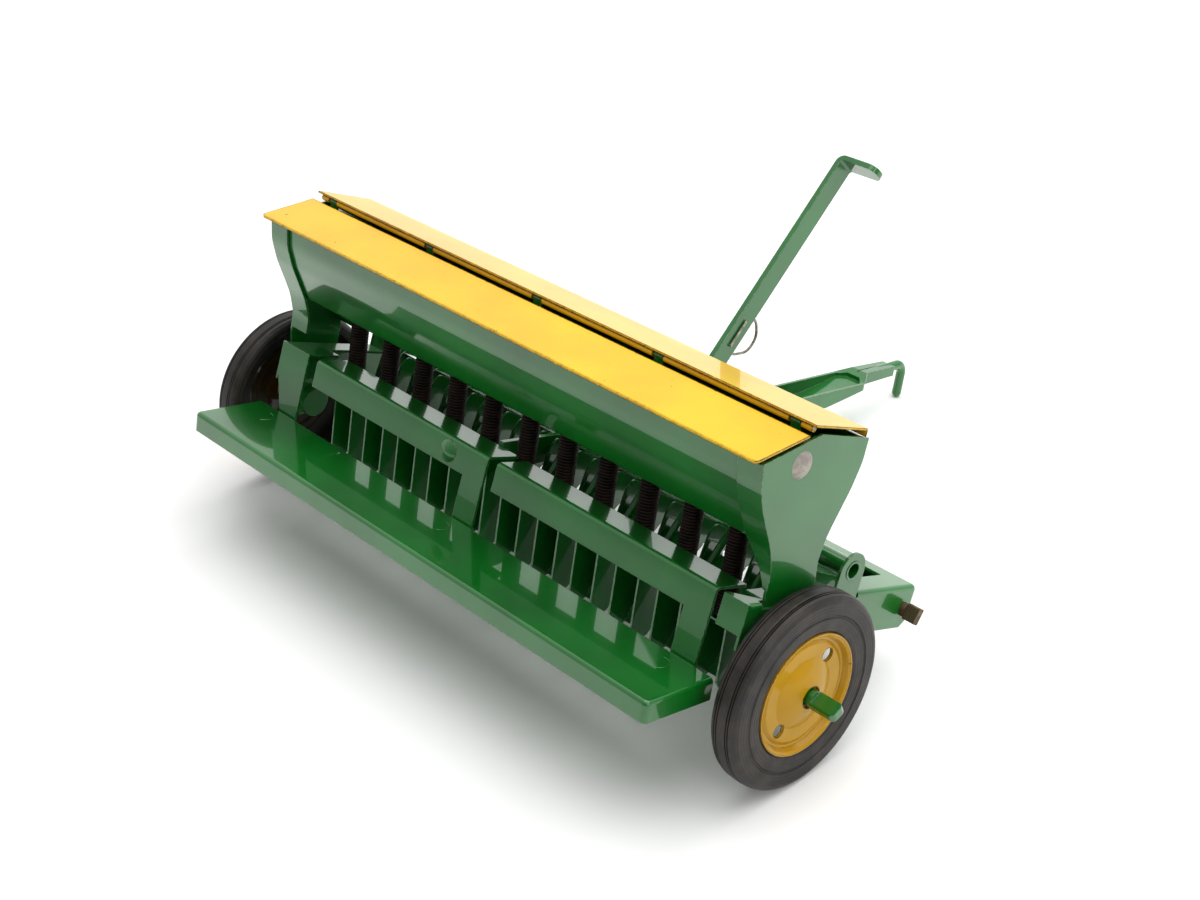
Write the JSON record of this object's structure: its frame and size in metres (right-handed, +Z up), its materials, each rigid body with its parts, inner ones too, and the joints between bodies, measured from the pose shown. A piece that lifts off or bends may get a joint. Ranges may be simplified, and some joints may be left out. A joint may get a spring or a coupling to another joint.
{
  "type": "toy grain drill",
  "caption": "Pressed-steel toy grain drill with two hinged seed-box lids, spring seed tubes, lever-lowered furrow openers, rubber-tyred wheels and a hook hitch.",
  "frame": {"origin": "on the floor, under the middle of the machine's footprint", "axes": "+X the machine's right, +Y forwards to the hitch, +Z up; the toy rests on two wheels and the tip of its hook"},
  "size_m": [0.242, 0.2178, 0.115],
  "materials": {
    "green_enamel": "gloss enamel, worn at the edges",
    "yellow_enamel": "gloss enamel, chipped at the edges",
    "tyre_rubber": "matt, slightly dusty",
    "dark_steel": "dull steel with light rust",
    "bright_wire": "drawn steel wire",
    "aluminium": "bright rivet"
  },
  "bodies": {
    "chassis": {"axle_washer_left": "dark_steel", "axle_washer_right": "dark_steel", "box_rivet_left": "aluminium", "box_rivet_right": "aluminium", "centre_brace": "green_enamel", "end_plate_left": "green_enamel", "end_plate_right": "green_enamel", "footboard": "green_enamel", "frame_rivet_left": "green_enamel", "frame_rivet_right": "green_enamel", "hinge_wire_front": "bright_wire", "hinge_wire_rear": "bright_wire", "hitch_hook": "green_enamel", "main_frame": "green_enamel", "opener_rod": "dark_steel", "rail_centre": "green_enamel", "rail_right": "green_enamel", "rail_rivet": "green_enamel", "ridge_bar": "green_enamel", "seed_trough": "green_enamel", "stub_axle_left": "green_enamel", "stub_axle_right": "green_enamel", "tongue": "green_enamel", "seed_tube_01": "dark_steel", "seed_tube_02": "dark_steel", "seed_tube_03": "dark_steel", "seed_tube_04": "dark_steel", "seed_tube_05": "dark_steel", "seed_tube_06": "dark_steel", "seed_tube_07": "dark_steel", "seed_tube_08": "dark_steel", "seed_tube_09": "dark_steel", "seed_tube_10": "dark_steel", "seed_tube_11": "dark_steel"},
    "openers": {"opener_01": "green_enamel", "opener_02": "green_enamel", "opener_03": "green_enamel", "opener_04": "green_enamel", "opener_05": "green_enamel", "opener_06": "green_enamel", "opener_07": "green_enamel", "opener_08": "green_enamel", "opener_09": "green_enamel", "opener_10": "green_enamel", "opener_11": "green_enamel"},
    "lift_lever": {"rock_shaft": "green_enamel", "lever": "green_enamel", "lever_clip": "bright_wire"},
    "rear_lid": {"rear_lid": "yellow_enamel"},
    "front_lid": {"front_lid": "yellow_enamel"},
    "left_wheel": {"wheel_disc_left": "yellow_enamel", "tyre_left": "tyre_rubber"},
    "right_wheel": {"wheel_disc_right": "yellow_enamel", "tyre_right": "tyre_rubber"}
  },
  "joints": [
    {"name": "left_wheel_spin", "type": "hinge", "parent": "chassis", "child": "left_wheel", "pos_m": [-0.1069, -0.0661, 0.0268], "axis": [1, 0, 0], "continuous": true},
    {"name": "right_wheel_spin", "type": "hinge", "parent": "chassis", "child": "right_wheel", "pos_m": [0.1069, -0.0661, 0.0268], "axis": [1, 0, 0], "continuous": true},
    {"name": "lever_swing", "type": "hinge", "parent": "chassis", "child": "lift_lever", "pos_m": [0.027, -0.03822, 0.04528], "axis": [1, 0, 0], "range_deg": [0, 22]},
    {"name": "opener_drop", "type": "hinge", "parent": "chassis", "child": "openers", "pos_m": [0.00313, -0.01643, 0.02272], "axis": [1, 0, 0], "range_deg": [0, 8], "deforming": ["seed_tube_01", "seed_tube_02", "seed_tube_03", "seed_tube_04", "seed_tube_05", "seed_tube_06", "seed_tube_07", "seed_tube_08", "seed_tube_09", "seed_tube_10", "seed_tube_11"]},
    {"name": "rear_lid_hinge", "type": "hinge", "parent": "chassis", "child": "rear_lid", "pos_m": [0, -0.05698, 0.09067], "axis": [-1, 0, 0], "range_deg": [0, 75]},
    {"name": "front_lid_hinge", "type": "hinge", "parent": "chassis", "child": "front_lid", "pos_m": [0, -0.05351, 0.09201], "axis": [1, 0, 0], "range_deg": [0, 75]}
  ],
  "couplings": [
    {"joint": "opener_drop", "follows": "lever_swing", "ratio": 0.36364}
  ]
}
